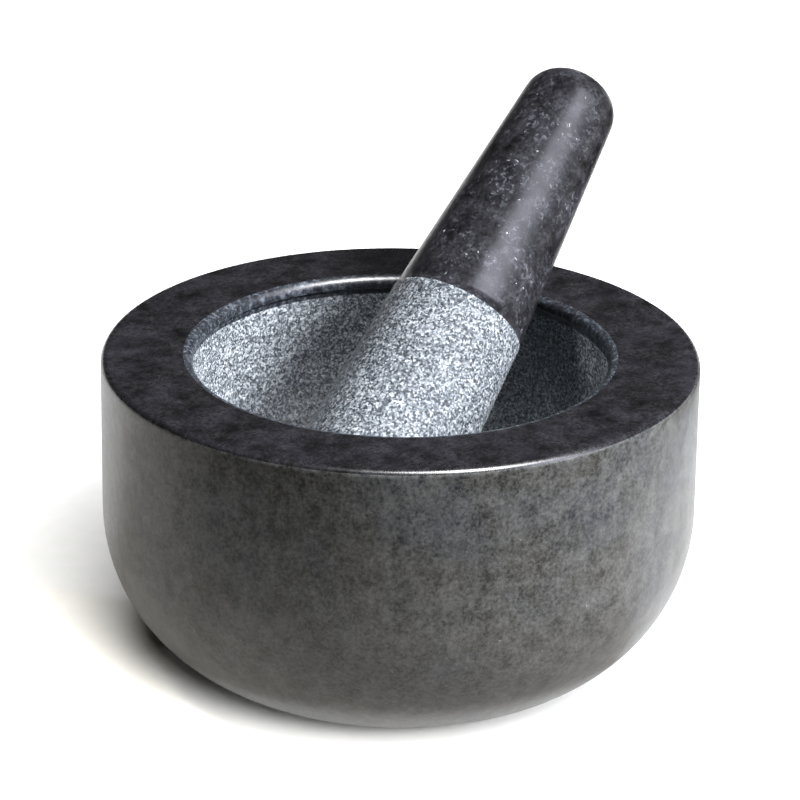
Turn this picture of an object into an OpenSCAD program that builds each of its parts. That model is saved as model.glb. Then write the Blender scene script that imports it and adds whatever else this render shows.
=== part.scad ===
// Stone mortar with a loose pestle. Each is turned from one piece of dark granite, polished outside,
// and left rough where it grinds. Millimetres. The origin is the centre of the mortar's foot, on the
// table. +Z is up, and the pestle leans towards +X.

/* [Mortar] */
// Diameter across the rim
rim_d = 140; // [130:1:150]
// Height from the table to the rim
mortar_h = 78; // [72:1:90]
// Diameter of the flat foot
foot_d = 71; // [64:1:84]
// Radius of the curve from the straight side in to the foot
belly_r = 41; // [38:1:46]
// Rounding of the rim's outer edge
edge_r = 1.8; // [1:0.1:3]

/* [Bowl] */
// Inside diameter of the rough bowl
bowl_d = 98; // [92:1:104]
// Depth from the rim to the floor of the bowl
bowl_depth = 56; // [50:1:60]
// Radius of the curve from the bowl's wall to its floor
bowl_r = 40; // [34:1:44]
// Rounding of the polished lip inside the rim
lip_r = 2.3; // [1.5:0.1:3]
// Height of the polished band under the lip's rounding
lip_band = 0.5; // [0.2:0.1:1]
// How far the rough bowl is cut back behind the lip
lip_step = 0.5; // [0.3:0.1:1]

/* [Pestle] */
// Length of the polished handle, from its top to the ring where the rough head starts
handle_len = 73; // [66:1:82]
// Length of the rough head, from the ring to its end
head_len = 73.5; // [66:0.5:76]
// Diameter of the head at the ring
ring_d = 33.6; // [30:0.2:36]
// How far the handle is cut back from the head at the ring
ring_step = 0.2; // [0.1:0.05:0.4]
// Angle between the handle's side and its axis
handle_taper = 4.35; // [3.5:0.05:5]
// Angle between the head's side and its axis
head_taper = 2.75; // [2:0.05:3.5]
// Radius of the handle's domed top
top_crown_r = 14; // [13:0.5:17]
// Rounding between the handle's side and its domed top
top_corner_r = 8.7; // [7:0.1:10]
// Radius of the head's domed end
head_crown_r = 30; // [26:1:40]
// Rounding between the head's side and its domed end
head_corner_r = 12; // [9:1:14]

/* [Rest] */
// Angle between the pestle at rest and the table
lean = 36.9; // [33:0.1:42]
// Gap left between the pestle and the mortar where they touch
rest_gap = 0.3; // [0.2:0.05:0.5]

/* [Hidden] */
arc_steps = 24;
turn_fn = 128;

// Points along an arc about c, from angle a to angle b
function arc(c, r, a, b) =
    [for (i = [0:arc_steps]) let (t = a + (b - a) * i / arc_steps) c + r * [cos(t), sin(t)]];
function reversed(points) = [for (i = [len(points) - 1:-1:0]) points[i]];

// Mortar: centres of the arcs in its section, as [radius, height]
rim_r = rim_d / 2;
foot_angle = acos((foot_d / 2 - rim_r + belly_r) / belly_r);
belly_c = [rim_r - belly_r, belly_r * sin(foot_angle)];
edge_c = [rim_r - edge_r, mortar_h - edge_r];
throat_r = bowl_d / 2 - lip_step;
lip_c = [throat_r + lip_r, mortar_h - lip_r];
band_z = mortar_h - lip_r - lip_band;
floor_z = mortar_h - bowl_depth;
bowl_c = [bowl_d / 2 - bowl_r, floor_z + bowl_r];

// Pestle: it is drawn upright with the ring at height 0, as [radius, height]
ring_r = ring_d / 2;
handle_r = ring_r - ring_step;

// Centre of the rounding that is tangent to a side and to the crown at its end. The side starts at
// radius r and closes in by the angle a, and the crown's centre is at height c on the axis.
function corner_centre(r, a, c, crown, corner) =
    let (k = tan(a), q = r - corner / cos(a), b = q * k + c, n = 1 + k * k,
         y = (b + sqrt(b * b - n * (q * q + c * c - pow(crown - corner, 2)))) / n)
    [q - k * y, y];

// Outline of one end, from its side up over the corner and the crown to the axis
function dome(r, a, length, crown, corner) =
    let (c = length - crown, p = corner_centre(r, a, c, crown, corner), t = atan2(p.y - c, p.x))
    concat(arc(p, corner, a, t), arc([0, c], crown, t, 90));

top_outline = dome(handle_r, handle_taper, handle_len, top_crown_r, top_corner_r);
head_outline = dome(ring_r, -head_taper, head_len, head_crown_r, head_corner_r);
head_corner = corner_centre(ring_r, -head_taper, head_len - head_crown_r, head_crown_r, head_corner_r);

// Rest: the pestle lies with its underside on the lip and slides down until its head meets the bowl.
// These are worked out in the upright plane through both axes, as [x, z].
axis_dir = [cos(lean), sin(lean)];
under_dir = [sin(lean), -cos(lean)];
slide_dir = [cos(lean + handle_taper), sin(lean + handle_taper)];
slide_normal = [slide_dir.y, -slide_dir.x];
lip_reach = handle_r * cos(handle_taper) + lip_r + rest_gap;
ring_on_lip = lip_c - lip_reach * slide_normal;
corner_on_lip = ring_on_lip - head_corner.y * axis_dir + head_corner.x * under_dir;
from_bowl_c = corner_on_lip - [-bowl_c.x, bowl_c.y];
bowl_reach = bowl_r - head_corner_r - rest_gap;
along = from_bowl_c * slide_dir;
slide_down = along + sqrt(along * along - from_bowl_c * from_bowl_c + bowl_reach * bowl_reach);
ring_at = ring_on_lip - slide_down * slide_dir;

// The whole mortar: foot, belly, straight side, flat rim, lip and rough bowl
module mortar() {
    color("#3b3e42")
    rotate_extrude($fn = turn_fn)
    polygon(concat(
        [[0, 0]],
        arc(belly_c, belly_r, -foot_angle, 0),
        arc(edge_c, edge_r, 0, 90),
        arc(lip_c, lip_r, 90, 180),
        [[throat_r, band_z], [bowl_d / 2, band_z]],
        arc(bowl_c, bowl_r, 0, -90),
        [[0, floor_z]]
    ));
}

// The pestle upright: its rough head below the ring, and its polished handle above
module pestle_upright() {
    rotate_extrude($fn = turn_fn)
    polygon(concat(
        reversed([for (p = head_outline) [p.x, -p.y]]),
        [[ring_r, -ring_step], [handle_r, 0]],
        top_outline
    ));
}

// The pestle at rest
module pestle() {
    color("#26282c")
    translate([ring_at.x, 0, ring_at.y])
    rotate([0, 90 - lean, 0])
    pestle_upright();
}

mortar();
pestle();
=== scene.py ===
# %% [markdown]
# # A granite mortar and its pestle
#
# The object is two stones. The mortar is a heavy round bowl, turned on a lathe from one block of
# dark granite. The pestle is a loose stone rod that leans in it. Both are polished where they are
# only touched, and left rough where they grind.
#
# This lesson builds the two stones around the finished CAD frame. It makes one Geometry Nodes lathe
# that turns both, then four finishes of the same granite, and last the floor, the camera and the
# light.

import math

import bpy
from mathutils import Matrix, Vector


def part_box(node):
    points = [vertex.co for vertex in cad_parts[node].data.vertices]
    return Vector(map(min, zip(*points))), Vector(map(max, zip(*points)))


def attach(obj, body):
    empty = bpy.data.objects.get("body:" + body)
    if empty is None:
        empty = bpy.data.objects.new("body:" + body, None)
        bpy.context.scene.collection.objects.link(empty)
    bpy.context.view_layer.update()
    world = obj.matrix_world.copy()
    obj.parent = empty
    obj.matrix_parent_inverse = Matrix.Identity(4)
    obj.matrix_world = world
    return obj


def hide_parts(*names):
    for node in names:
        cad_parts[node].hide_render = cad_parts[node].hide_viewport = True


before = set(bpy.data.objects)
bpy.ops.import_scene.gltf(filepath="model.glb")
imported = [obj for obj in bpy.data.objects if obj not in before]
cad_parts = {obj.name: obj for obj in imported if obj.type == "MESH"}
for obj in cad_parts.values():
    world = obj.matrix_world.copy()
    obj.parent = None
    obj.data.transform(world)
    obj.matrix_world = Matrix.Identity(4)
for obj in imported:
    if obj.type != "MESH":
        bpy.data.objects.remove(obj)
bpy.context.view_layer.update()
scene = bpy.context.scene

# %% [markdown]
# ## Small tools
#
# Blender works in metres and in linear colour. A stonemason works in millimetres, and a colour is
# easiest to pick as a hex value off a screen, so a short function translates. Another adds one node
# to a tree, with its settings and whatever feeds it, so that a long tree still reads like a list.

# %% Millimetres, colours and nodes
MM = 0.001      # one millimetre, in metres


def linear(hex_colour):
    """The linear RGBA that Blender wants, from an sRGB hex value such as "3b3e42"."""
    channels = [int(hex_colour[i:i + 2], 16) / 255 for i in (0, 2, 4)]
    curved = [c / 12.92 if c <= 0.04045 else ((c + 0.055) / 1.055) ** 2.4 for c in channels]
    return (*curved, 1.0)


def add(tree, kind, settings=(), inputs=(), stops=()):
    """Adds one node. An input is a value, or the output socket that feeds it. Stops are for a colour
    ramp: each is a place from 0 to 1 and a hex colour."""
    node = tree.nodes.new(kind)
    node.location.x = 180 * len(tree.nodes)
    for name, value in dict(settings).items():
        setattr(node, name, value)
    for key, value in dict(inputs).items():
        socket = node.inputs[key]
        if isinstance(value, bpy.types.NodeSocket):
            tree.links.new(value, socket)
        else:
            socket.default_value = value
    for i, (place, colour) in enumerate(stops):
        if i == len(node.color_ramp.elements):
            node.color_ramp.elements.new(place)
        node.color_ramp.elements[i].position = place
        node.color_ramp.elements[i].color = linear(colour)
    return node


print("mid grey 808080 in linear light:", round(linear("808080")[0], 3))

# %% [markdown]
# ## The lathe
#
# Each stone is round about its own axis, so its whole shape is one outline, turned. It could be made
# by Spin or by the Screw modifier. Here it is a Geometry Nodes tree, because the tree can do more
# than turn: it also grinds the surface where the outline says so, and gives each face its finish.
#
# Everything that differs from stone to stone is a named input, and the tree is made once.

# %% The lathe's named inputs
FINISHES = ["Polished", "Honed", "Eased", "Ground"]


def new_lathe():
    """An empty lathe: its inputs, one of them for each finish, and its output."""
    tree = bpy.data.node_groups.new("stone_lathe", "GeometryNodeTree")
    sockets = {
        "Outline": "NodeSocketGeometry",
        "Steps Around": "NodeSocketInt",
        "Grain Size": "NodeSocketFloat",
        "Grain Depth": "NodeSocketFloat",
        "Ring Pitch": "NodeSocketFloat",
        "Ring Depth": "NodeSocketFloat",
        "Seed": "NodeSocketFloat",
    }
    sockets.update({finish: "NodeSocketMaterial" for finish in FINISHES})
    for name, kind in sockets.items():
        tree.interface.new_socket(name, in_out="INPUT", socket_type=kind)
    tree.interface.new_socket("Stone", in_out="OUTPUT", socket_type="NodeSocketGeometry")
    return tree


lathe = new_lathe()
given = add(lathe, "NodeGroupInput").outputs
print("lathe inputs:", [socket.name for socket in given if socket.name])

# %% [markdown]
# ### Turning the sheet
#
# The tree lays a flat sheet with one row for each point of the outline and one column for each step
# around. Its points are numbered row by row, so a whole-number division by the number of columns
# gives the row, which is the outline point, and the remainder gives the column, which is the angle.
# Every point of the sheet then moves to its outline point, turned by its angle.
#
# The seam and the two poles have points in the same place, and Merge by Distance closes them. The
# sheet's top side ends up inside the stone, so Flip Faces turns every face outwards.

# %% Turn the outline
WELD = 0.001 * MM       # far less than the distance between any two points that should stay apart


def turn(tree):
    """The closed skin of the stone, smooth so far, with what each point and face needs to know."""
    outline = given["Outline"]
    counted = add(tree, "GeometryNodeAttributeDomainSize", {}, {"Geometry": outline})
    columns = add(tree, "FunctionNodeIntegerMath", {}, {0: given["Steps Around"], 1: 1}).outputs[0]
    sheet = add(tree, "GeometryNodeMeshGrid", {},
                {"Vertices X": counted.outputs["Point Count"], "Vertices Y": columns})
    index = add(tree, "GeometryNodeInputIndex").outputs[0]
    row = add(tree, "FunctionNodeIntegerMath", {"operation": "DIVIDE_FLOOR"}, {0: index, 1: columns})
    column = add(tree, "FunctionNodeIntegerMath", {"operation": "MODULO"}, {0: index, 1: columns})
    share = add(tree, "ShaderNodeMath", {"operation": "DIVIDE"},
                {0: column.outputs[0], 1: given["Steps Around"]})
    angle = add(tree, "ShaderNodeMath", {"operation": "MULTIPLY"}, {0: share.outputs[0], 1: math.tau})
    place = add(tree, "GeometryNodeInputPosition").outputs[0]
    on_outline = add(tree, "GeometryNodeSampleIndex", {"data_type": "FLOAT_VECTOR"},
                     {"Geometry": outline, "Value": place, "Index": row.outputs[0]})
    turned = add(tree, "ShaderNodeVectorRotate", {"rotation_type": "Z_AXIS"},
                 {"Vector": on_outline.outputs[0], "Angle": angle.outputs[0]})
    skin = add(tree, "GeometryNodeSetPosition", {},
               {"Geometry": sheet.outputs["Mesh"], "Position": turned.outputs[0]})
    for name in ("grind", "travel"):
        known = add(tree, "GeometryNodeInputNamedAttribute", {"data_type": "FLOAT"}, {"Name": name})
        sampled = add(tree, "GeometryNodeSampleIndex", {"data_type": "FLOAT"},
                      {"Geometry": outline, "Value": known.outputs[0], "Index": row.outputs[0]})
        skin = add(tree, "GeometryNodeStoreNamedAttribute", {"data_type": "FLOAT", "domain": "POINT"},
                   {"Geometry": skin.outputs[0], "Name": name, "Value": sampled.outputs[0]})
    face_row = add(tree, "FunctionNodeIntegerMath", {"operation": "DIVIDE_FLOOR"},
                   {0: index, 1: given["Steps Around"]})
    known = add(tree, "GeometryNodeInputNamedAttribute", {"data_type": "INT"}, {"Name": "finish"})
    sampled = add(tree, "GeometryNodeSampleIndex", {"data_type": "INT", "domain": "EDGE"},
                  {"Geometry": outline, "Value": known.outputs[0], "Index": face_row.outputs[0]})
    skin = add(tree, "GeometryNodeStoreNamedAttribute", {"data_type": "INT", "domain": "FACE"},
               {"Geometry": skin.outputs[0], "Name": "finish", "Value": sampled.outputs[0]})
    seamless = add(tree, "GeometryNodeMergeByDistance", {},
                   {"Geometry": skin.outputs[0], "Distance": WELD})
    return add(tree, "GeometryNodeFlipFaces", {}, {"Mesh": seamless.outputs[0]}).outputs[0]


smooth_skin = turn(lathe)
print("nodes that turn the outline:", len(lathe.nodes))

# %% [markdown]
# ### Grinding the surface
#
# A ground granite face is not flat. Crystals have broken out of it and left pits a millimetre or so
# across, and the coarse wheel left faint rings as the stone turned. Both are real relief, so they
# move the mesh, always into the stone and never out of it, and the stone keeps its outer size. The
# outline's "grind" value, from 0 to 1, says how rough each place is, so the polished parts stay
# true.

# %% Pits and rings
UNBROKEN = 0.62         # where the noise is above this, the face is whole
PIT_BOTTOM = 0.32       # and where it is below this, a pit is at its deepest


def grind(tree, skin):
    """Pushes the rough parts of the skin inwards, by noise for the pits and a wave for the rings."""
    place = add(tree, "GeometryNodeInputPosition").outputs[0]
    scale = add(tree, "ShaderNodeMath", {"operation": "DIVIDE"}, {0: 1.0, 1: given["Grain Size"]})
    pits = add(tree, "ShaderNodeTexNoise", {"noise_dimensions": "4D"},
               {"Vector": place, "W": given["Seed"], "Scale": scale.outputs[0],
                "Detail": 2.0, "Roughness": 0.6})
    pit_share = add(tree, "ShaderNodeMapRange", {},
                    {"Value": pits.outputs[0], "From Min": UNBROKEN, "From Max": PIT_BOTTOM})
    pit_depth = add(tree, "ShaderNodeMath", {"operation": "MULTIPLY"},
                    {0: pit_share.outputs[0], 1: given["Grain Depth"]})
    travel = add(tree, "GeometryNodeInputNamedAttribute", {"data_type": "FLOAT"}, {"Name": "travel"})
    turns = add(tree, "ShaderNodeMath", {"operation": "DIVIDE"},
                {0: travel.outputs[0], 1: given["Ring Pitch"]})
    phase = add(tree, "ShaderNodeMath", {"operation": "MULTIPLY"}, {0: turns.outputs[0], 1: math.tau})
    wave = add(tree, "ShaderNodeMath", {"operation": "SINE"}, {0: phase.outputs[0]})
    ring_share = add(tree, "ShaderNodeMapRange", {}, {"Value": wave.outputs[0], "From Min": -1.0})
    ring_depth = add(tree, "ShaderNodeMath", {"operation": "MULTIPLY"},
                     {0: ring_share.outputs[0], 1: given["Ring Depth"]})
    depth = add(tree, "ShaderNodeMath", {"operation": "ADD"},
                {0: pit_depth.outputs[0], 1: ring_depth.outputs[0]})
    roughened = add(tree, "GeometryNodeInputNamedAttribute", {"data_type": "FLOAT"}, {"Name": "grind"})
    local = add(tree, "ShaderNodeMath", {"operation": "MULTIPLY"},
                {0: depth.outputs[0], 1: roughened.outputs[0]})
    inwards = add(tree, "ShaderNodeMath", {"operation": "MULTIPLY"}, {0: local.outputs[0], 1: -1.0})
    normal = add(tree, "GeometryNodeInputNormal").outputs[0]
    shift = add(tree, "ShaderNodeVectorMath", {"operation": "SCALE"},
                {0: normal, "Scale": inwards.outputs[0]})
    ground = add(tree, "GeometryNodeSetPosition", {}, {"Geometry": skin, "Offset": shift.outputs[0]})
    return ground.outputs[0]


print("noise from", UNBROKEN, "down to", PIT_BOTTOM, "makes a pit")

# %% [markdown]
# ### A finish for every face
#
# Each face carries the number of its finish, so the tree ends in one Set Material for each, with
# only that finish's faces selected. Realize Instances comes first. The sheet is real mesh all along,
# so it changes nothing here, but it keeps the result plain if somebody adds instances further up.

# %% Set the finishes
def finish_faces(tree, skin):
    """Smooth shading, then one Set Material for each finish, chosen by the number on the face."""
    smooth = add(tree, "GeometryNodeSetShadeSmooth", {}, {"Geometry": skin})
    whole = add(tree, "GeometryNodeRealizeInstances", {}, {"Geometry": smooth.outputs[0]})
    number = add(tree, "GeometryNodeInputNamedAttribute", {"data_type": "INT"}, {"Name": "finish"})
    for i, finish in enumerate(FINISHES):
        chosen = add(tree, "FunctionNodeCompare", {"data_type": "INT", "operation": "EQUAL"},
                     {2: number.outputs[0], 3: i})
        whole = add(tree, "GeometryNodeSetMaterial", {},
                    {"Geometry": whole.outputs[0], "Selection": chosen.outputs[0],
                     "Material": given[finish]})
    add(tree, "NodeGroupOutput", {}, {"Stone": whole.outputs[0]})


finish_faces(lathe, grind(lathe, smooth_skin))
print("nodes in the whole lathe:", len(lathe.nodes))

# %% [markdown]
# ## Outlines
#
# An outline is a list of stretches. Each stretch is a line or an arc in radius and height, and it
# also says its finish, how rough it is, and how far apart its points are. Polished stretches need
# few points. Ground ones need one every half millimetre or so, or the pits would have no shape.

# %% Stretches of an outline
def line(start, end):
    """A straight stretch, as a function from 0..1 to a point, and its length in millimetres."""
    way = Vector(end) - Vector(start)
    return (lambda t: Vector(start) + t * way), way.length


def arc(centre, radius, first, last):
    """A round stretch between two angles in degrees, anticlockwise if last is the larger."""
    def point(t):
        a = math.radians(first + t * (last - first))
        return Vector(centre) + radius * Vector((math.cos(a), math.sin(a)))
    return point, radius * math.radians(abs(last - first))


def new_outline(name, stretches):
    """A chain of points in the XZ plane, for the lathe to turn. Sizes are given in millimetres."""
    points, roughness, finishes = [], [], []
    for (point, length), finish, rough, spacing in stretches:
        steps = max(1, math.ceil(length / spacing))
        points += [point(i / steps) for i in range(steps)]
        roughness += [rough] * steps
        finishes += [FINISHES.index(finish)] * steps
    (last_point, _), _, last_rough, _ = stretches[-1]
    points.append(last_point(1))
    roughness.append(last_rough)
    travelled = [0.0]
    for a, b in zip(points, points[1:]):
        travelled.append(travelled[-1] + (b - a).length * MM)
    mesh = bpy.data.meshes.new(name)
    edges = [(i, i + 1) for i in range(len(points) - 1)]
    mesh.from_pydata([(p.x * MM, 0, p.y * MM) for p in points], edges, [])
    mesh.attributes.new("grind", "FLOAT", "POINT").data.foreach_set("value", roughness)
    mesh.attributes.new("travel", "FLOAT", "POINT").data.foreach_set("value", travelled)
    mesh.attributes.new("finish", "INT", "EDGE").data.foreach_set("value", finishes)
    print(name, "has", len(points), "points over", round(travelled[-1] / MM), "mm")
    return mesh


# %% [markdown]
# ## Granite
#
# Black granite, which a geologist would call gabbro or dolerite, is a close-packed mass of dark
# crystals with a little pale feldspar. The stone is the same all through. Only the way that its
# surface was made changes what the eye sees, so the finishes share their patterns, and differ in
# colour, gloss and relief.
#
# Every pattern reads Object coordinates, so it runs through the stone as the real crystals do. Its
# scale is the number of pattern cells in a metre, worked out from the size of one cell.

# %% Shared granite patterns
GRANITE_IOR = 1.54      # feldspar and pyroxene bend light a little more than glass does


def cells(size_mm):
    """A texture scale from the real size of one cell of the pattern."""
    return 1 / (size_mm * MM)


def new_material(name):
    """A material with an empty tree, and the coordinates that its patterns read."""
    material = bpy.data.materials.new(name)
    material.use_nodes = True
    tree = material.node_tree
    tree.nodes.clear()
    where = add(tree, "ShaderNodeTexCoord").outputs["Object"]
    return material, tree, where


def pale_flecks(tree, where, size_mm, first, full, crowd):
    """How much feldspar shows at each place, from 0 to 1. A ragged chip starts where the noise is
    above first, is whole above full, and is kept only where crowd is high."""
    chips = add(tree, "ShaderNodeTexNoise", {}, {"Vector": where, "Scale": cells(size_mm),
                                                 "Detail": 3.0, "Roughness": 0.7, "Distortion": 0.6})
    shown = add(tree, "ShaderNodeMapRange", {}, {"Value": chips.outputs[0], "From Min": first,
                                                 "From Max": full})
    kept = add(tree, "ShaderNodeMath", {"operation": "MULTIPLY"}, {0: shown.outputs[0], 1: crowd})
    return kept.outputs[0]


def close_surface(tree, colour, roughness, height, relief_mm, strength):
    """The shader itself, with relief too fine for the mesh."""
    bump = add(tree, "ShaderNodeBump", {}, {"Height": height, "Distance": relief_mm * MM,
                                            "Strength": strength})
    shader = add(tree, "ShaderNodeBsdfPrincipled", {},
                 {"Base Color": colour, "Roughness": roughness, "Normal": bump.outputs[0],
                  "IOR": GRANITE_IOR})
    add(tree, "ShaderNodeOutputMaterial", {}, {"Surface": shader.outputs[0]})


print("cells in a metre for a 1 mm crystal:", cells(1))

# %% [markdown]
# ### Polished granite
#
# The rim and the handle were polished with finer and finer grit. The dark crystals now lie in one
# smooth plane, so the eye sees nearly black stone with soft clouds in it and the lamps as long soft
# highlights. Polishing by hand never quite closes the surface, so the gloss is satin, not a mirror,
# and it changes a little from crystal to crystal.
#
# Feldspar crosses it as small ragged chips, which crowd together in some places and leave others
# empty, with a grey bruise round each crowd. The chips are about a third of a millimetre on the real
# stone, and are made slightly coarser here so that they still show.

# %% Make polished granite
def polished_granite(name, smudge, crowd_from, bruise, smoothest):
    """smudge is how grey the soft mottling is, and bruise the stone round the chips. crowd_from is how
    strong the clouds must be before chips show, so a low value shows more. smoothest is the lowest
    roughness: the handle is a little duller than the rim, because a flat face polishes better."""
    material, tree, where = new_material(name)
    cloud = add(tree, "ShaderNodeTexNoise", {}, {"Vector": where, "Scale": cells(9), "Detail": 5.0,
                                                 "Roughness": 0.65})
    ground = add(tree, "ShaderNodeValToRGB", {}, {"Fac": cloud.outputs[0]},
                 [(0.36, "030303"), (0.5, "08080a"), (0.64, "151418")])
    mottle = add(tree, "ShaderNodeTexNoise", {}, {"Vector": where, "Scale": cells(5), "Detail": 3.0,
                                                  "Roughness": 0.6})
    soft = add(tree, "ShaderNodeMapRange", {}, {"Value": mottle.outputs[0], "From Min": 0.3,
                                                "From Max": 0.7, "To Max": smudge})
    grain = add(tree, "ShaderNodeTexNoise", {}, {"Vector": where, "Scale": cells(0.9), "Detail": 4.0,
                                                 "Roughness": 0.85})
    speckle = add(tree, "ShaderNodeMapRange", {}, {"Value": grain.outputs[0], "From Min": 0.35,
                                                   "From Max": 0.68, "To Min": 0.1, "To Max": 1.9})
    grainy = add(tree, "ShaderNodeMath", {"operation": "MULTIPLY"},
                 {0: soft.outputs[0], 1: speckle.outputs[0]})
    mottled = add(tree, "ShaderNodeMix", {"data_type": "RGBA"},
                  {0: grainy.outputs[0], 6: ground.outputs[0], 7: linear("4c4b51")})
    crowd = add(tree, "ShaderNodeMapRange", {}, {"Value": cloud.outputs[0], "From Min": crowd_from,
                                                 "From Max": crowd_from + 0.12})
    bruised = pale_flecks(tree, where, 1.4, 0.52, 0.9, crowd.outputs[0])
    bruise_share = add(tree, "ShaderNodeMath", {"operation": "MULTIPLY"}, {0: bruised, 1: bruise})
    grey = add(tree, "ShaderNodeMix", {"data_type": "RGBA"},
               {0: bruise_share.outputs[0], 6: mottled.outputs[2], 7: linear("8d9099")})
    flecked = add(tree, "ShaderNodeMix", {"data_type": "RGBA"},
                  {0: pale_flecks(tree, where, 1.1, 0.66, 0.76, crowd.outputs[0]),
                   6: grey.outputs[2], 7: linear("d8dadc")})
    gloss = add(tree, "ShaderNodeMapRange", {}, {"Value": grain.outputs[0], "From Min": 0.3,
                                                 "From Max": 0.7, "To Min": smoothest,
                                                 "To Max": smoothest + 0.12})
    close_surface(tree, flecked.outputs[2], gloss.outputs[0], grain.outputs[0], 0.02, 0.25)
    return material


# %% [markdown]
# ### Honed granite
#
# The side of the mortar was only honed, one step short of polishing. A honed face is finely
# scratched all over, so it scatters light and looks charcoal grey. Its clouds of brown, green and
# blue, a few millimetres across, are the different dark minerals, and the grain within them is well
# under a millimetre. The gloss is wide and soft, and where the side curves away from the eye it
# still mirrors whatever is bright behind it.

# %% Make honed granite
def honed_granite(name):
    """Charcoal stone: tinted clouds, grey patches in them, fine grain, and a rare pale speck."""
    material, tree, where = new_material(name)
    cloud = add(tree, "ShaderNodeTexNoise", {}, {"Vector": where, "Scale": cells(20), "Detail": 4.0,
                                                 "Roughness": 0.6})
    ground = add(tree, "ShaderNodeValToRGB", {}, {"Fac": cloud.outputs[0]},
                 [(0.36, "1a1614"), (0.46, "171813"), (0.54, "16171a"), (0.64, "1c1f26")])
    patch = add(tree, "ShaderNodeTexNoise", {}, {"Vector": where, "Scale": cells(4.5), "Detail": 5.0,
                                                 "Roughness": 0.75})
    grain = add(tree, "ShaderNodeTexNoise", {}, {"Vector": where, "Scale": cells(0.9), "Detail": 3.0,
                                                 "Roughness": 0.75})
    both = add(tree, "ShaderNodeMix", {"data_type": "FLOAT"},
               {0: 0.5, 2: patch.outputs[0], 3: grain.outputs[0]})
    lift = add(tree, "ShaderNodeMapRange", {}, {"Value": both.outputs[0], "From Min": 0.39,
                                                "From Max": 0.67, "To Max": 0.8})
    mixed = add(tree, "ShaderNodeMix", {"data_type": "RGBA"},
                {0: lift.outputs[0], 6: ground.outputs[0], 7: linear("626362")})
    flecked = add(tree, "ShaderNodeMix", {"data_type": "RGBA"},
                  {0: pale_flecks(tree, where, 1.2, 0.7, 0.8, patch.outputs[0]),
                   6: mixed.outputs[2], 7: linear("c4c2b8")})
    gloss = add(tree, "ShaderNodeMapRange", {}, {"Value": grain.outputs[0], "From Min": 0.3,
                                                 "From Max": 0.7, "To Min": 0.3, "To Max": 0.46})
    close_surface(tree, flecked.outputs[2], gloss.outputs[0], grain.outputs[0], 0.06, 0.5)
    return material


# %% [markdown]
# ### Eased granite
#
# The lip inside the rim was rounded over with a fine abrasive block. Granite worn this way turns a
# light blue-grey, because a layer of tiny cracks scatters the light. It is half way between the
# polished rim and the ground bowl. Its grey is partly that worn stone and partly painted sheen, where
# the lip would catch the lamps. The same finish, darker than the ground bowl, paints the shade in a
# narrow band just below the step.

# %% Make eased granite
def eased_sheen_and_shade_granite(name):
    """Worn blue-grey stone with bright grit, partly painted sheen; below the step, painted shade."""
    material, tree, where = new_material(name)
    grit = add(tree, "ShaderNodeTexNoise", {}, {"Vector": where, "Scale": cells(1.3), "Detail": 5.0,
                                                "Roughness": 0.8})
    colour = add(tree, "ShaderNodeValToRGB", {}, {"Fac": grit.outputs[0]},
                 [(0.34, "0e0f12"), (0.5, "25282d"), (0.66, "5c626b")])
    close_surface(tree, colour.outputs[0], 0.34, grit.outputs[0], 0.1, 0.4)
    return material


# %% [markdown]
# ### Ground granite
#
# The bowl and the pestle's head were left as the coarse wheel made them, so that they grip what is
# ground. Every crystal is broken across and shows white, grey or black by itself: salt and pepper,
# with grains of about half a millimetre. It has almost no gloss.
#
# Two patterns make it. Voronoi cells stand for whole crystals, each with one tone, and a busy noise
# for the crushed stone between them. The wheel's passes show as faint level streaks, which are noise
# squeezed flat along the stone's own axis. The pestle is turned upright and leaned later, so its
# streaks are turned by the lean.

# %% Make ground granite
def ground_granite(name, lean, tone):
    """tone darkens the whole finish: a head that is used wears smoother and darker than the bowl."""
    material, tree, where = new_material(name)
    upright = add(tree, "ShaderNodeMapping", {"vector_type": "TEXTURE"},
                  {"Vector": where, "Rotation": (0, lean, 0)}).outputs[0]
    crystals = add(tree, "ShaderNodeTexVoronoi", {}, {"Vector": where, "Scale": cells(0.45)})
    luck = add(tree, "ShaderNodeSeparateColor", {}, {"Color": crystals.outputs["Color"]})
    crush = add(tree, "ShaderNodeTexNoise", {}, {"Vector": where, "Scale": cells(0.8), "Detail": 5.0,
                                                 "Roughness": 0.8})
    mixed = add(tree, "ShaderNodeMix", {"data_type": "FLOAT"},
                {0: 0.75, 2: luck.outputs[0], 3: crush.outputs[0]})
    colour = add(tree, "ShaderNodeValToRGB", {}, {"Fac": mixed.outputs[0]},
                 [(0.3, "1d2024"), (0.43, "4c5258"), (0.54, "868d94"), (0.68, "d2d7da")])
    flat = add(tree, "ShaderNodeMapping", {}, {"Vector": upright, "Scale": (0.12, 0.12, 1)})
    streaks = add(tree, "ShaderNodeTexNoise", {}, {"Vector": flat.outputs[0], "Scale": cells(2.2),
                                                   "Detail": 3.0, "Roughness": 0.6})
    shade = add(tree, "ShaderNodeMapRange", {}, {"Value": streaks.outputs[0], "From Min": 0.3,
                                                 "From Max": 0.7, "To Min": 0.75 * tone,
                                                 "To Max": 1.15 * tone})
    streaked = add(tree, "ShaderNodeVectorMath", {"operation": "SCALE"},
                   {0: colour.outputs[0], "Scale": shade.outputs[0]})
    gloss = add(tree, "ShaderNodeMapRange", {}, {"Value": mixed.outputs[0], "To Min": 0.45,
                                                 "To Max": 0.7})
    close_surface(tree, streaked.outputs[0], gloss.outputs[0], mixed.outputs[0], 0.2, 0.5)
    return material


# %% [markdown]
# ## Turning a stone
#
# The lathe's inputs are set by each socket's identifier before the stone is first evaluated. The
# result is then copied out as a plain mesh, and the modifier goes, so that the stone which rides on
# the CAD body is only a mesh with its finishes.

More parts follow.
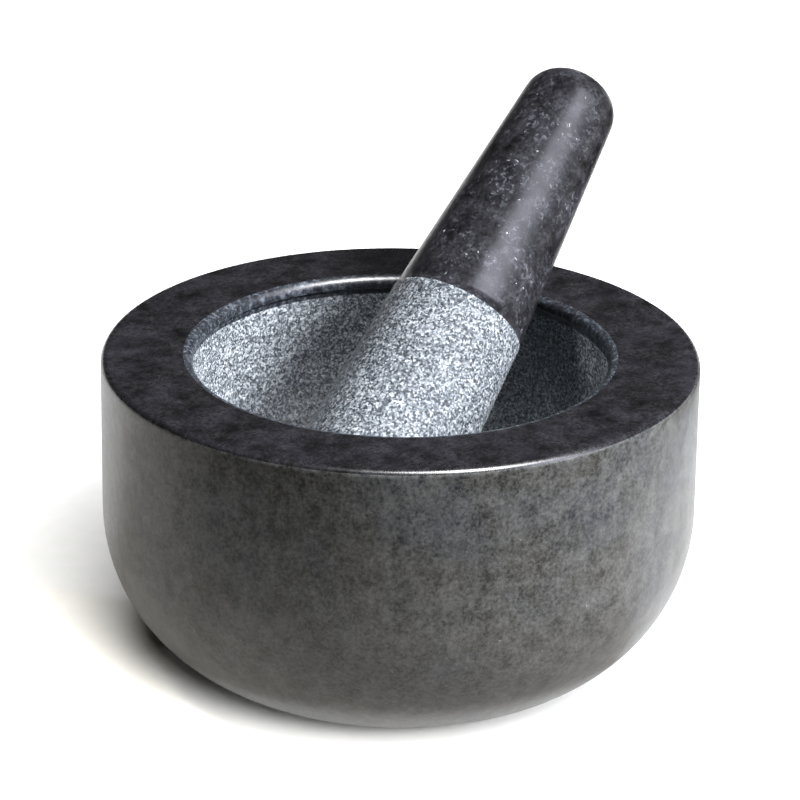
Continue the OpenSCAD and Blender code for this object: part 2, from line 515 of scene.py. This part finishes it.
# %% Turn one stone
def turned_stone(name, outline, sizes, finishes):
    """A plain mesh object, turned and ground by the lathe."""
    stone = bpy.data.objects.new(name, outline)
    scene.collection.objects.link(stone)
    modifier = stone.modifiers.new("lathe", "NODES")
    modifier.node_group = lathe
    chosen = {**sizes, **finishes}
    for item in lathe.interface.items_tree:
        if item.in_out == "INPUT" and item.name in chosen:
            modifier[item.identifier] = chosen[item.name]
    graph = bpy.context.evaluated_depsgraph_get()
    mesh = bpy.data.meshes.new_from_object(stone.evaluated_get(graph), preserve_all_data_layers=True,
                                           depsgraph=graph)
    stone.modifiers.clear()
    stone.data = mesh
    mesh.name = name
    mesh.calc_loop_triangles()
    print(name, "has", len(mesh.loop_triangles), "triangles and", len(finishes), "finishes")
    return stone


# %% [markdown]
# ## The mortar
#
# A broad flat rim, a straight wall that rolls under in one big curve to a flat foot, and a deep
# bowl. Inside the rim there is a small rounded lip, a narrow band, and a step where the polishing
# stopped and the coarse grinding of the bowl begins. Just below the step, a narrow band of the
# darker eased finish is painted shade under the lip. Its width and height come from the CAD node.
#
# A hand polisher works over the rim and a little way down its rounded edge, so the edge changes from
# honed to polished part of the way up.

# %% The mortar's outside, in millimetres
mortar_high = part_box("mortar")[1]
rim_r = round(mortar_high.x / MM, 1)
rim_z = round(mortar_high.z / MM, 1)
edge_r = 1.8
edge_x = rim_r - edge_r
edge_z = rim_z - edge_r
polish_from = 30        # degrees up the rounded edge, from level
foot_r = 35.5
belly_r = 41
belly_x = rim_r - belly_r
belly_turn = math.degrees(math.acos((foot_r - belly_x) / belly_r))
belly_z = belly_r * math.sin(math.radians(belly_turn))
print("the belly rolls in from", round(belly_z, 1), "mm up, by", round(belly_turn, 1), "degrees")

# %% The mortar's bowl, in millimetres
bowl_r = 49
bowl_floor_z = 22
bowl_curve_r = 40
bowl_curve_x = bowl_r - bowl_curve_r
bowl_curve_z = bowl_floor_z + bowl_curve_r
lip_r = 2.3
lip_band = 0.5
lip_step = 0.5
step_drop = 0.1
# the band of painted shade below the step, in the darker eased finish, is this many mm tall
painted_shade_drop = 1.6
throat_r = bowl_r - lip_step
lip_x = throat_r + lip_r
lip_z = rim_z - lip_r
band_z = lip_z - lip_band
step_z = band_z - step_drop
painted_shade_z = band_z - painted_shade_drop
print("the bowl is", rim_z - bowl_floor_z, "mm deep")

# %% The mortar's outline
# In each row: the stretch, its finish, how rough it is, and the millimetres between its points.
mortar_outline = new_outline("mortar_outline", [
    (line((0, 0), (foot_r, 0)), "Honed", 0, 4),
    (arc((belly_x, belly_z), belly_r, -belly_turn, 0), "Honed", 0, 2),
    (line((rim_r, belly_z), (rim_r, edge_z)), "Honed", 0, 4),
    (arc((edge_x, edge_z), edge_r, 0, polish_from), "Honed", 0, 0.3),
    (arc((edge_x, edge_z), edge_r, polish_from, 90), "Polished", 0, 0.3),
    (line((edge_x, rim_z), (lip_x, rim_z)), "Polished", 0, 3),
    (arc((lip_x, lip_z), lip_r, 90, 180), "Eased", 0.3, 0.35),
    (line((throat_r, lip_z), (throat_r, band_z)), "Eased", 0.4, 0.25),
    (line((throat_r, band_z), (bowl_r, step_z)), "Ground", 0.6, 0.25),
    # painted shade: the rough wall just below the step gets the darker eased finish
    (line((bowl_r, step_z), (bowl_r, painted_shade_z)), "Eased", 0.8, 0.5),
    (line((bowl_r, painted_shade_z), (bowl_r, bowl_curve_z)), "Ground", 1, 0.65),
    (arc((bowl_curve_x, bowl_curve_z), bowl_curve_r, 0, -90), "Ground", 1, 0.65),
    (line((bowl_curve_x, bowl_floor_z), (0, bowl_floor_z)), "Ground", 1, 0.8),
])

# %% [markdown]
# ## The pestle
#
# A straight rod with a ring line at its middle. Above the line it is polished and closes slightly
# towards a domed top. Below it the head flares a little and is ground rough, down to a wide rounded
# end. It is turned upright, with the ring line at height 0, and leaned over afterwards.
#
# Both ends are the same kind of thing: a tapering side, a small round corner that is tangent to it,
# and a flat crown that is tangent to the corner. One function finds where they meet.

# %% The pestle's sizes, in millimetres and degrees
ring_r = 16.8
ring_step = 0.2
handle_r = ring_r - ring_step
handle_length = 73
handle_taper = 4.35
top_corner_r = 8.7
top_crown_r = 14
head_length = 73.5
head_taper = -2.75      # less than nothing, so the head flares away from the ring line
end_corner_r = 12
end_crown_r = 30
print("the pestle is", handle_length + head_length, "mm long")


# %% A rounded end
def rounded_end(start_r, slope, length, corner_r, crown_r):
    """The side, corner and crown of a rod that points up from height 0. The side closes by slope
    degrees, or flares where slope is negative.

    The corner's centre lies corner_r inside the side, on the line x = q - k * z. It also lies
    crown_r - corner_r from the crown's centre. The two together are a quadratic in its height."""
    lean = math.radians(slope)
    k = math.tan(lean)
    q = start_r - corner_r / math.cos(lean)
    crown_z = length - crown_r
    n = 1 + k * k
    b = q * k + crown_z
    c = q * q + crown_z ** 2 - (crown_r - corner_r) ** 2
    corner_z = (b + math.sqrt(b * b - n * c)) / n
    corner = Vector((q - k * corner_z, corner_z))
    side_end = corner + corner_r * Vector((math.cos(lean), math.sin(lean)))
    meet = math.degrees(math.atan2(corner_z - crown_z, corner.x))
    return [line((start_r, 0), side_end), arc(corner, corner_r, slope, meet),
            arc((0, crown_z), crown_r, meet, 90)]


def mirrored(stretch):
    """The same stretch below the ring line, run the other way, towards the line."""
    point, length = stretch
    return (lambda t: Vector((point(1 - t).x, -point(1 - t).y))), length


# %% The pestle's outline
handle_side, top_corner, top_crown = rounded_end(handle_r, handle_taper, handle_length,
                                                 top_corner_r, top_crown_r)
head = [mirrored(stretch) for stretch in rounded_end(ring_r, head_taper, head_length,
                                                     end_corner_r, end_crown_r)]
pestle_outline = new_outline("pestle_outline", [
    *[(stretch, "Ground", 1, 0.5) for stretch in reversed(head)],
    (line((ring_r, 0), (handle_r, 0)), "Ground", 0.2, 0.2),
    (handle_side, "Polished", 0, 2.5),
    (top_corner, "Polished", 0, 0.8),
    (top_crown, "Polished", 0, 0.8),
])

# %% [markdown]
# ## Both stones, turned
#
# The mortar's bowl is wide, so it takes more steps around for the same size of pit. Its wheel was
# the larger one, so its pits are a little deeper and its rings further apart than the pestle's.

# %% Make both stones
RISE_FROM_GROUND = 36.9
LEAN = math.radians(90 - RISE_FROM_GROUND)      # Blender turns the upright stone, so from upright

mortar_stone = turned_stone("mortar_stone", mortar_outline, {
    "Steps Around": 432, "Grain Size": 1.8 * MM, "Grain Depth": 0.22 * MM,
    "Ring Pitch": 3.1 * MM, "Ring Depth": 0.07 * MM, "Seed": 3.0,
}, {
    "Polished": polished_granite("polished_rim_granite", smudge=0.2, crowd_from=0.66, bruise=0.2,
                                 smoothest=0.22),
    "Honed": honed_granite("honed_side_granite"),
    # the eased finish: partly worn stone and partly painted sheen on the lip; painted shade below the
    # step
    "Eased": eased_sheen_and_shade_granite("eased_lip_granite_sheen_and_shade"),
    "Ground": ground_granite("ground_bowl_granite", lean=0, tone=0.9),
})
pestle_stone = turned_stone("pestle_stone", pestle_outline, {
    "Steps Around": 288, "Grain Size": 1.5 * MM, "Grain Depth": 0.18 * MM,
    "Ring Pitch": 2.4 * MM, "Ring Depth": 0.04 * MM, "Seed": 8.0,
}, {
    "Polished": polished_granite("polished_handle_granite", smudge=0.34, crowd_from=0.44, bruise=0.55,
                                 smoothest=0.28),
    "Ground": ground_granite("ground_head_granite", lean=LEAN, tone=0.68),
})

# %% [markdown]
# ## Leaning the pestle
#
# The CAD frame holds the place where the pestle comes to rest on the lip. The upright stone is
# turned about Y by its lean. What its box would be, without the grinding, is compared with the box
# of the CAD pestle, and the difference is how far it moves.

# %% Lean it and put it in its place
def leaned_corner(outline_points, lean):
    """Highest x and highest z of the turned outline once it leans by that angle about Y."""
    reach = [r * math.cos(lean) + z * math.sin(lean) for r, z in outline_points]
    rise = [r * math.sin(lean) + z * math.cos(lean) for r, z in outline_points]
    return max(reach), max(rise)


pestle_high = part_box("pestle")[1]
top_x, top_z = leaned_corner([(v.co.x, v.co.z) for v in pestle_outline.vertices], LEAN)
shift = Vector((pestle_high.x - top_x, 0, pestle_high.z - top_z))
pestle_stone.data.transform(Matrix.Translation(shift) @ Matrix.Rotation(LEAN, 4, "Y"))
print("ring line's centre, mm:", [round(v / MM, 2) for v in shift])

# %% [markdown]
# ## Riding on the CAD bodies
#
# Each stone stands for one CAD node and moves with that node's body, so the pestle can be lifted
# out of the bowl just as it is in the simulation.

# %% Fasten the stones
for stone, body in ((mortar_stone, "mortar"), (pestle_stone, "pestle")):
    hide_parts(body)
    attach(stone, body)

# %% [markdown]
# ## Floor
#
# A plain sheet of matt white board, large enough that its edge is never seen. Board is pressed from
# paper pulp, so its white is very slightly uneven, and it has no gloss worth seeing.

# %% White board
PAPER_ROUGHNESS = 0.9


def matt_paper(name, cloud_mm, darker, lighter):
    """Matt paper or board of one tone, with the faint fibre clouds of pressed pulp."""
    material, tree, where = new_material(name)
    fibres = add(tree, "ShaderNodeTexNoise", {}, {"Vector": where, "Scale": cells(cloud_mm)})
    colour = add(tree, "ShaderNodeValToRGB", {}, {"Fac": fibres.outputs[0]},
                 [(0.3, darker), (0.7, lighter)])
    shader = add(tree, "ShaderNodeBsdfPrincipled", {},
                 {"Base Color": colour.outputs[0], "Roughness": PAPER_ROUGHNESS})
    add(tree, "ShaderNodeOutputMaterial", {}, {"Surface": shader.outputs[0]})
    return material


FLOOR_HALF = 4.0
FLOOR_DROP = 0.0001      # a hair below the foot, so that the two faces never fight
corners = [(-FLOOR_HALF, -FLOOR_HALF, 0), (FLOOR_HALF, -FLOOR_HALF, 0),
           (FLOOR_HALF, FLOOR_HALF, 0), (-FLOOR_HALF, FLOOR_HALF, 0)]
floor_mesh = bpy.data.meshes.new("floor")
floor_mesh.from_pydata(corners, [], [(0, 1, 2, 3)])
floor_mesh.materials.append(matt_paper("matt_white_board", 6, "f6f6f3", "faf9f7"))
floor = bpy.data.objects.new("floor", floor_mesh)
floor.location.z = -FLOOR_DROP
scene.collection.objects.link(floor)
print("floor, m:", 2 * FLOOR_HALF, "square")

# %% [markdown]
# ## Camera
#
# A long lens a metre away, raised a little, so that the eye sees over the rim into the bowl and the
# circles stay calm ovals. Its place is given round the centre of the rim. It aims slightly below
# that centre, so the whole object sits in the frame, and it is rolled by under a degree.

# %% Camera
CAMERA_TURN = math.radians(-148.05)
CAMERA_RISE = math.radians(22.1)
CAMERA_AWAY = 1.0
AIM_LOWER = math.radians(0.645)
ROLL = math.radians(0.76)
LENS = 192.6            # focal length, and
SENSOR = 36             # the width of the film behind it, both in millimetres as lenses are sold

rim_centre = Vector((0, 0, mortar_high.z))


def round_rim(turn, rise, away):
    """A place round the centre of the rim: its direction over the ground, its height, its distance."""
    return rim_centre + away * Vector((math.cos(rise) * math.cos(turn),
                                       math.cos(rise) * math.sin(turn), math.sin(rise)))


lens = bpy.data.cameras.new("camera")
lens.lens = LENS
lens.sensor_width = SENSOR
camera = bpy.data.objects.new("camera", lens)
scene.collection.objects.link(camera)
scene.camera = camera
ahead = -(round_rim(CAMERA_TURN, CAMERA_RISE + AIM_LOWER, 1) - rim_centre)
level = ahead.cross(Vector((0, 0, 1))).normalized()
upward = level.cross(ahead)
right = math.cos(ROLL) * level + math.sin(ROLL) * upward
up = math.cos(ROLL) * upward - math.sin(ROLL) * level
camera.matrix_world = Matrix((right, up, -ahead)).transposed().to_4x4()
camera.location = round_rim(CAMERA_TURN, CAMERA_RISE, CAMERA_AWAY)
print("camera, m:", [round(v, 3) for v in camera.location])

# %% [markdown]
# ## Light on the stones
#
# Dark polished stone is lit by what it mirrors, so each lamp has one job. A tall soft box at the
# right draws the one broad stripe down the handle. A smaller key lamp beside it rakes the rough head
# and the far wall of the bowl, and is kept out of the mirror so that the stripe stays clean. Two weak
# fills, one overhead and one at the left, open up the shadows. The lamp high at the right front does
# the opposite: it is seen only in the gloss, as the bright line along the rounded edge of the rim.
#
# Light linking keeps every one of them but the soft box off the board.

# %% Lamps for the stones
LAMP_AWAY = 1.3         # metres from the middle of the rim


def place_lamp(name, lamp, turn_right, rise):
    """Hangs a lamp so that it faces the rim, to the right of the camera by so many degrees."""
    hung = bpy.data.objects.new(name, lamp)
    scene.collection.objects.link(hung)
    hung.location = round_rim(CAMERA_TURN + math.radians(turn_right), math.radians(rise), LAMP_AWAY)
    hung.rotation_euler = (rim_centre - hung.location).to_track_quat("-Z", "Y").to_euler()
    return hung


def soft_box(name, turn_right, rise, width, height, power):
    """A rectangular lamp, in metres and watts."""
    lamp = bpy.data.lights.new(name, "AREA")
    lamp.shape = "RECTANGLE"
    lamp.size = width
    lamp.size_y = height
    lamp.energy = power
    return place_lamp(name, lamp, turn_right, rise)


def only_for(name, lamps, pieces):
    """Links the lamps to these pieces, so that they light nothing else."""
    group = bpy.data.collections.new(name)
    for piece in pieces:
        group.objects.link(piece)
    for lamp in lamps:
        lamp.light_linking.receiver_collection = group
    return group


# In each row: degrees right of the camera, degrees up, width and height in metres, and watts.
stripe = soft_box("stripe_soft_box", 67, 36, 0.48, 1.4, 20)
stripe.data.color = linear("eef0ff")[:3]
key = soft_box("key_lamp", 72, 42, 0.35, 0.35, 54)
fill = soft_box("overhead_fill", 75, 80, 0.3, 0.3, 6)
left_fill = soft_box("left_fill", -60, 45, 0.3, 0.3, 6)
for lamp in (key, fill, left_fill):
    lamp.visible_glossy = False
edge = soft_box("rim_edge_lamp", 50, 68, 0.45, 0.75, 58)
edge.visible_diffuse = False
only_for("both_stones", (key, fill, left_fill), (mortar_stone, pestle_stone))
only_for("mortar_only", (edge,), (mortar_stone,))
print("lamps for the stones:", [lamp.name for lamp in (stripe, key, fill, left_fill, edge)])

# %% [markdown]
# ## Light on the board
#
# The board is to look plain white, with only a soft shadow behind the mortar and a thin dark line
# where it stands. It gets its own light from three broad suns: one from above, one from the front
# that throws the soft shadow backwards, and a low one from the right front that reaches in under the
# belly, so the dark line at the front stays thin.

# %% Suns for the board
def board_sun(name, turn_right, rise, spread, strength):
    """A sun with soft edges: spread is how wide it looks in the sky, in degrees."""
    lamp = bpy.data.lights.new(name, "SUN")
    lamp.angle = math.radians(spread)
    lamp.energy = strength
    return place_lamp(name, lamp, turn_right, rise)


# In each row: degrees right of the camera, degrees up, degrees wide, and watts a square metre.
suns = [
    board_sun("front_sun", 16, 42, 32, 3.9),
    board_sun("ceiling_sun", 60, 85, 42, 1.65),
    board_sun("low_sun", 35, 22, 25, 3.6),
]
board_and_card = only_for("board_only", suns, (floor,))
print("suns for the board:", [sun.name for sun in suns])

# %% [markdown]
# ## Cards round the mortar
#
# The near side of the mortar leans out over the board and would mirror it. In a studio, dark paper is
# laid round dark glass or stone, so that the mirrored board turns dark and the stone keeps its depth.
# The board stays white where the edges of the stone are to shine. Here a grey card lies closest, for
# the soft grey of the belly, and black cards begin further out, for the dark upper side. The stones
# mirror the cards, and the camera does not see them.

# %% Cards
CARD_STEPS = 24         # flat pieces in each curved card, enough for its edge to look round
CARD_GAP = 0.001        # from one layer of card to the next
CARD_FAR = 1.3          # the outer edge of every card, out where the lamps hang


def paper_card(name, first, last, near, layer, paper):
    """A flat card round the mortar, from one angle right of the camera to another. Its inner edge is
    that near to the middle, in metres."""
    turns = [CAMERA_TURN + math.radians(first + (last - first) * i / CARD_STEPS)
             for i in range(CARD_STEPS + 1)]
    ring = [(r * math.cos(a), r * math.sin(a), 0) for a in turns for r in (near, CARD_FAR)]
    mesh = bpy.data.meshes.new(name)
    mesh.from_pydata(ring, [], [(2 * i, 2 * i + 1, 2 * i + 3, 2 * i + 2) for i in range(CARD_STEPS)])
    mesh.materials.append(paper)
    card = bpy.data.objects.new(name, mesh)
    card.location.z = layer * CARD_GAP
    card.visible_camera = False
    card.visible_shadow = False
    scene.collection.objects.link(card)
    return card


black_paper = matt_paper("black_paper", 5, "070707", "0a0a0a")
grey_paper = matt_paper("grey_paper", 5, "b0aca5", "b4b1ab")
# In each row: where it starts and ends, in degrees right of the camera, how near it comes to the
# middle in metres, and the layer it lies in.
grey_card = paper_card("grey_card", -112, 75, 0.056, 1, grey_paper)
board_and_card.objects.link(grey_card)
paper_card("front_black_card", -75, 30, 0.175, 2, black_paper)
paper_card("right_black_card", 30, 150, 0.21, 2, black_paper)
print("the cards lie within", 2 * CARD_GAP / MM, "mm of the board, and reach", CARD_FAR, "m out")

# %% [markdown]
# ## The room
#
# Everything else the stones could mirror is a dim room. The camera itself sees plain white beyond
# the board, so there is no horizon.

# %% Room
ROOM_DIM = 0.04
world = bpy.data.worlds.new("studio")
scene.world = world
world.use_nodes = True
sky = world.node_tree
sky.nodes.clear()
dim = add(sky, "ShaderNodeBackground", {}, {"Color": linear("ffffff"), "Strength": ROOM_DIM})
seen = add(sky, "ShaderNodeBackground", {}, {"Color": linear("ffffff"), "Strength": 1.0})
path = add(sky, "ShaderNodeLightPath")
either = add(sky, "ShaderNodeMixShader", {}, {0: path.outputs["Is Camera Ray"], 1: dim.outputs[0],
                                              2: seen.outputs[0]})
add(sky, "ShaderNodeOutputWorld", {}, {"Surface": either.outputs[0]})
scene.view_settings.view_transform = "Standard"
print("room light is", ROOM_DIM, "of white")
